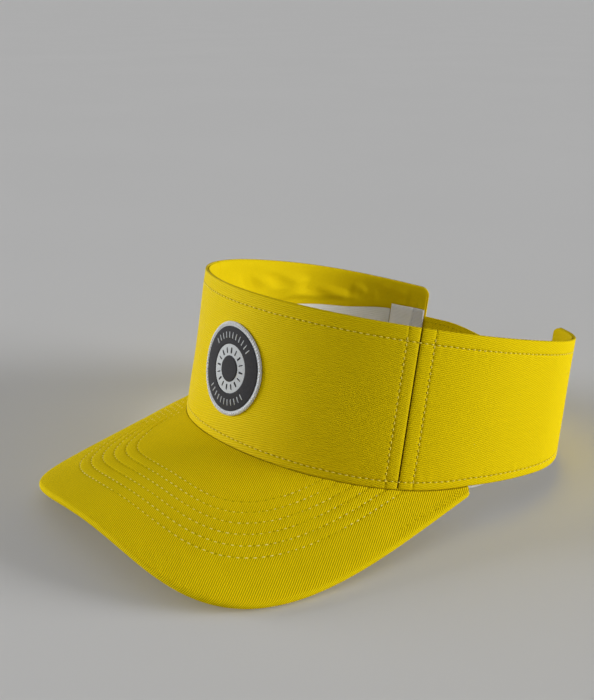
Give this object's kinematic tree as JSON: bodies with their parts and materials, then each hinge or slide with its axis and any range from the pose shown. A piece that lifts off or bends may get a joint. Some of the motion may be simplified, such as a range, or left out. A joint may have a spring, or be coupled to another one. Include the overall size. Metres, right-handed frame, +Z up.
{
  "type": "sun visor",
  "caption": "Fabric sun visor: arched stiffened brim on an open-topped band with a sweatband, an oval badge and a hook-and-loop back strap.",
  "frame": {"origin": "middle of the visor's outline in plan, on the table that it lies on", "axes": "+Z up from the table, -Y out of the front along the brim, +X to the wearer's left; the band leans back 9.6 degrees, as the visor lies on its brim and the back of its band"},
  "size_m": [0.1844, 0.256, 0.0989],
  "materials": {
    "yellow_twill": "cotton twill, matt with a faint diagonal rib",
    "yellow_lining": "plain cotton lining, matt",
    "yellow_thread": "spun polyester thread, slight sheen",
    "white_sweatband": "brushed cotton twill, matt",
    "grey_binding": "plain woven tape, matt",
    "foam": "soft fibre padding, matt",
    "buckram": "stiff open-weave buckram",
    "interfacing": "fused non-woven interfacing",
    "board": "moulded polyethylene sheet, matt",
    "badge_pale": "satin-stitch embroidery thread, soft sheen",
    "badge_dark": "satin-stitch embroidery thread, soft sheen",
    "hook_tape": "woven hook tape with fine moulded hooks",
    "loop_tape": "brushed loop tape, fuzzy"
  },
  "bodies": {
    "visor": {"front_panel": "yellow_twill", "left_panel": "yellow_twill", "right_panel": "yellow_twill", "front_stiffener": "buckram", "left_interfacing": "interfacing", "right_interfacing": "interfacing", "front_lining": "yellow_lining", "left_lining": "yellow_lining", "right_lining": "yellow_lining", "sweatband_cover": "white_sweatband", "sweatband_padding": "foam", "left_end_binding": "grey_binding", "right_end_binding": "grey_binding", "brim_board": "board", "brim_top_cover": "yellow_twill", "brim_bottom_cover": "yellow_twill", "brim_stitching": "yellow_thread", "top_edge_stitching": "yellow_thread", "bottom_edge_stitching": "yellow_thread", "left_seam_stitching": "yellow_thread", "right_seam_stitching": "yellow_thread", "left_end_stitching": "yellow_thread", "right_end_stitching": "yellow_thread", "badge_base": "badge_pale", "badge_border": "badge_pale", "badge_ring": "badge_dark", "badge_emblem": "badge_dark", "strap_anchor": "yellow_twill", "hook_tape": "hook_tape"},
    "strap": {"back_strap": "yellow_twill", "strap_stitching": "yellow_thread"},
    "tab": {"strap_tab": "yellow_twill", "loop_tape": "loop_tape", "tab_stitching": "yellow_thread"}
  },
  "joints": [
    {"name": "strap_swing", "type": "hinge", "parent": "visor", "child": "strap", "pos_m": [-0.03635, 0.11853, 0.02626], "axis": [0, 0.1668, 0.986], "range_deg": [0, 70]},
    {"name": "tab_peel", "type": "hinge", "parent": "strap", "child": "tab", "pos_m": [0.05866, 0.11163, 0.02185], "axis": [0, 0.1668, 0.986], "range_deg": [0, 100]}
  ]
}
